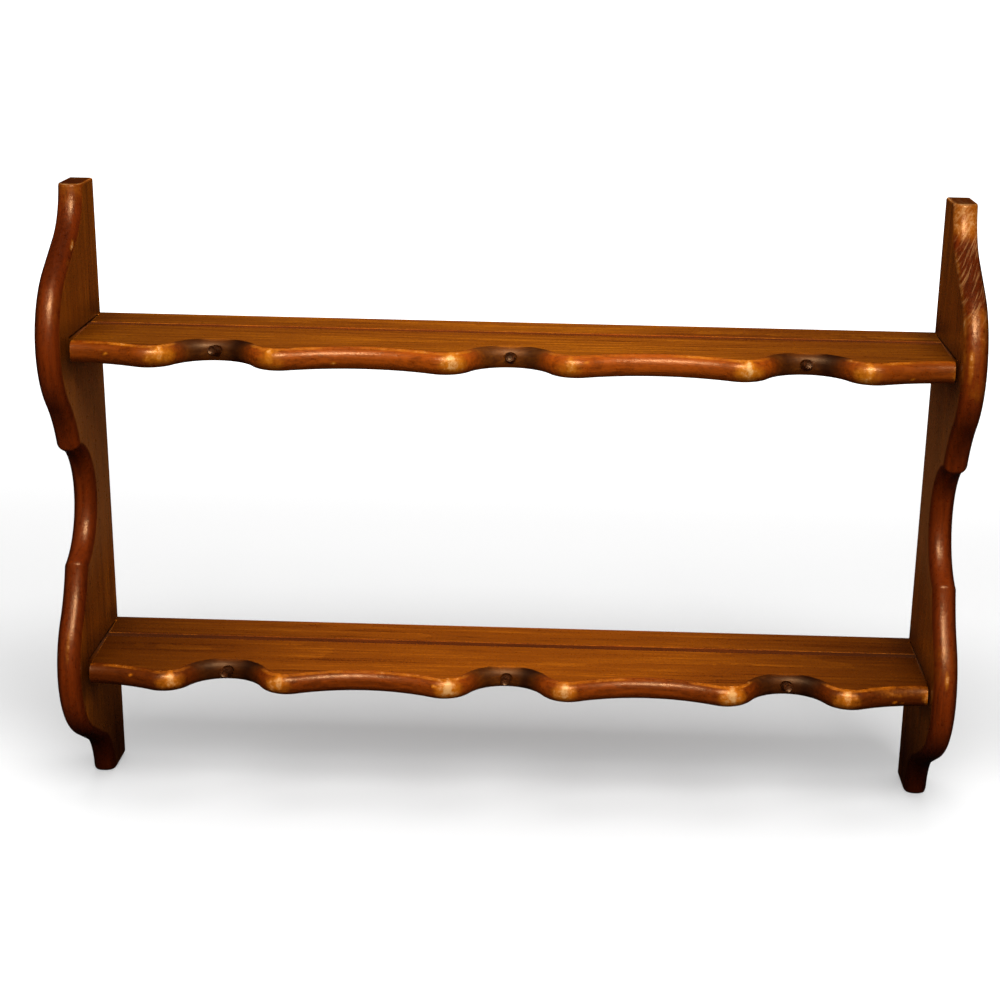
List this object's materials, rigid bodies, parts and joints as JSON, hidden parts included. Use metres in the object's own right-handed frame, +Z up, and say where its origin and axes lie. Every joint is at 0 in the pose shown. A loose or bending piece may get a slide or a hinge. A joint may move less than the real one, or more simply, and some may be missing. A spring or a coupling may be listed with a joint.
{
  "type": "wall plate rack",
  "caption": "Wall plate rack in stained pine: ogee side boards, scalloped shelves with plate grooves and cup pegs, on keyhole hangers.",
  "frame": {"origin": "in the wall plane, midway between the centres of the two keyhole entry holes", "axes": "+Y into the wall, +X along the shelves to the rack's right as seen from the room, +Z up"},
  "size_m": [0.761, 0.1319, 0.535],
  "materials": {
    "side_boards": "satin stained pine",
    "shelves": "satin stained pine",
    "pegs": "dark stained hardwood",
    "plugs": "satin stained pine",
    "joint_screws": "plain",
    "hangers": "zinc plated",
    "hanger_screws": "zinc plated"
  },
  "bodies": {
    "root": {"side_left": "side_boards", "side_right": "side_boards", "shelf_upper": "shelves", "shelf_lower": "shelves", "peg_upper_left": "pegs", "peg_upper_centre": "pegs", "peg_upper_right": "pegs", "peg_lower_left": "pegs", "peg_lower_centre": "pegs", "peg_lower_right": "pegs", "screws_upper_left": "joint_screws", "screws_upper_right": "joint_screws", "screws_lower_left": "joint_screws", "screws_lower_right": "joint_screws", "plugs_upper_left": "plugs", "plugs_upper_right": "plugs", "plugs_lower_left": "plugs", "plugs_lower_right": "plugs", "hanger_left": "hangers", "hanger_right": "hangers", "hanger_screws_left": "hanger_screws", "hanger_screws_right": "hanger_screws"}
  },
  "joints": []
}
